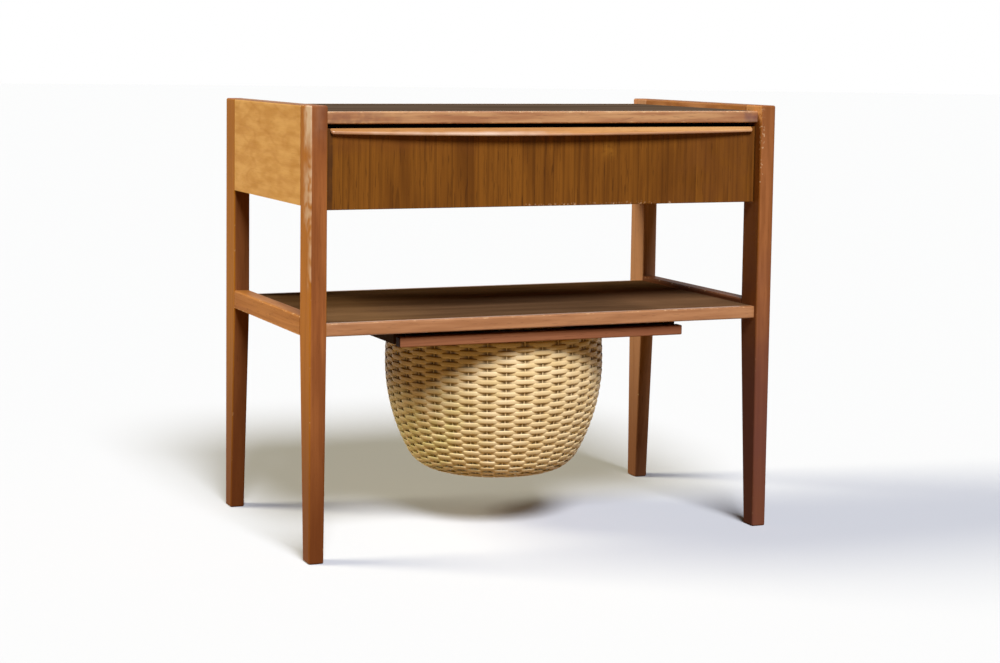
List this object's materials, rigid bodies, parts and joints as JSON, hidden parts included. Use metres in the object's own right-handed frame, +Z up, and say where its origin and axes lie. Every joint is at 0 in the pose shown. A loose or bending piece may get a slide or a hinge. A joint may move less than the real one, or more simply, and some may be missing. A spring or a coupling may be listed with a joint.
{
  "type": "sewing table",
  "caption": "Small wooden sewing table with a drawer under the sunk top, a low shelf, and a round woven basket that slides out on runners below the shelf.",
  "frame": {"origin": "middle of the table's footprint, on the plane that the feet stand on", "axes": "+X to the right seen from the drawer side, +Y towards the back, +Z up"},
  "size_m": [0.596, 0.336, 0.52],
  "materials": {
    "teak_solid": "oiled teak, satin, edges worn pale",
    "teak_panel": "oiled teak, satin, straight or figured grain",
    "teak_dark_veneer": "darkened teak veneer, polished",
    "runner_hardwood": "plain hardwood, unpolished",
    "drawer_beech": "pale beech, matt",
    "woven_cane": "woven cane, matt, honey-coloured",
    "screw_steel": "bright steel"
  },
  "bodies": {
    "frame": {"leg_front_left": "teak_solid", "leg_front_right": "teak_solid", "leg_back_left": "teak_solid", "leg_back_right": "teak_solid", "side_panel_left": "teak_panel", "side_panel_right": "teak_panel", "back_panel": "teak_panel", "top_panel": "teak_dark_veneer", "top_front_lipping": "teak_solid", "top_back_lipping": "teak_solid", "top_dowels": "drawer_beech", "lower_rail_left": "teak_solid", "lower_rail_right": "teak_solid", "shelf_panel": "teak_dark_veneer", "shelf_front_lipping": "teak_solid", "shelf_back_lipping": "teak_solid", "shelf_dowels": "drawer_beech", "drawer_runner_left": "runner_hardwood", "drawer_runner_right": "runner_hardwood", "drawer_runner_screws": "screw_steel", "basket_runner_left": "runner_hardwood", "basket_runner_right": "runner_hardwood", "basket_runner_screws": "screw_steel"},
    "drawer": {"drawer_front": "teak_panel", "drawer_pull_lip": "teak_solid", "drawer_side_left": "drawer_beech", "drawer_side_right": "drawer_beech", "drawer_back": "drawer_beech", "drawer_bottom": "drawer_beech", "drawer_bottom_screws": "screw_steel"},
    "basket_tray": {"basket_front_bar": "teak_solid", "basket_board": "runner_hardwood", "basket_rim": "woven_cane", "basket_body": "woven_cane", "basket_rim_screws": "screw_steel"}
  },
  "joints": [
    {"name": "drawer_slide", "type": "slide", "parent": "frame", "child": "drawer", "axis": [0, -1, 0], "range_m": [0, 0.24]},
    {"name": "basket_slide", "type": "slide", "parent": "frame", "child": "basket_tray", "axis": [0, -1, 0], "range_m": [0, 0.23]}
  ]
}
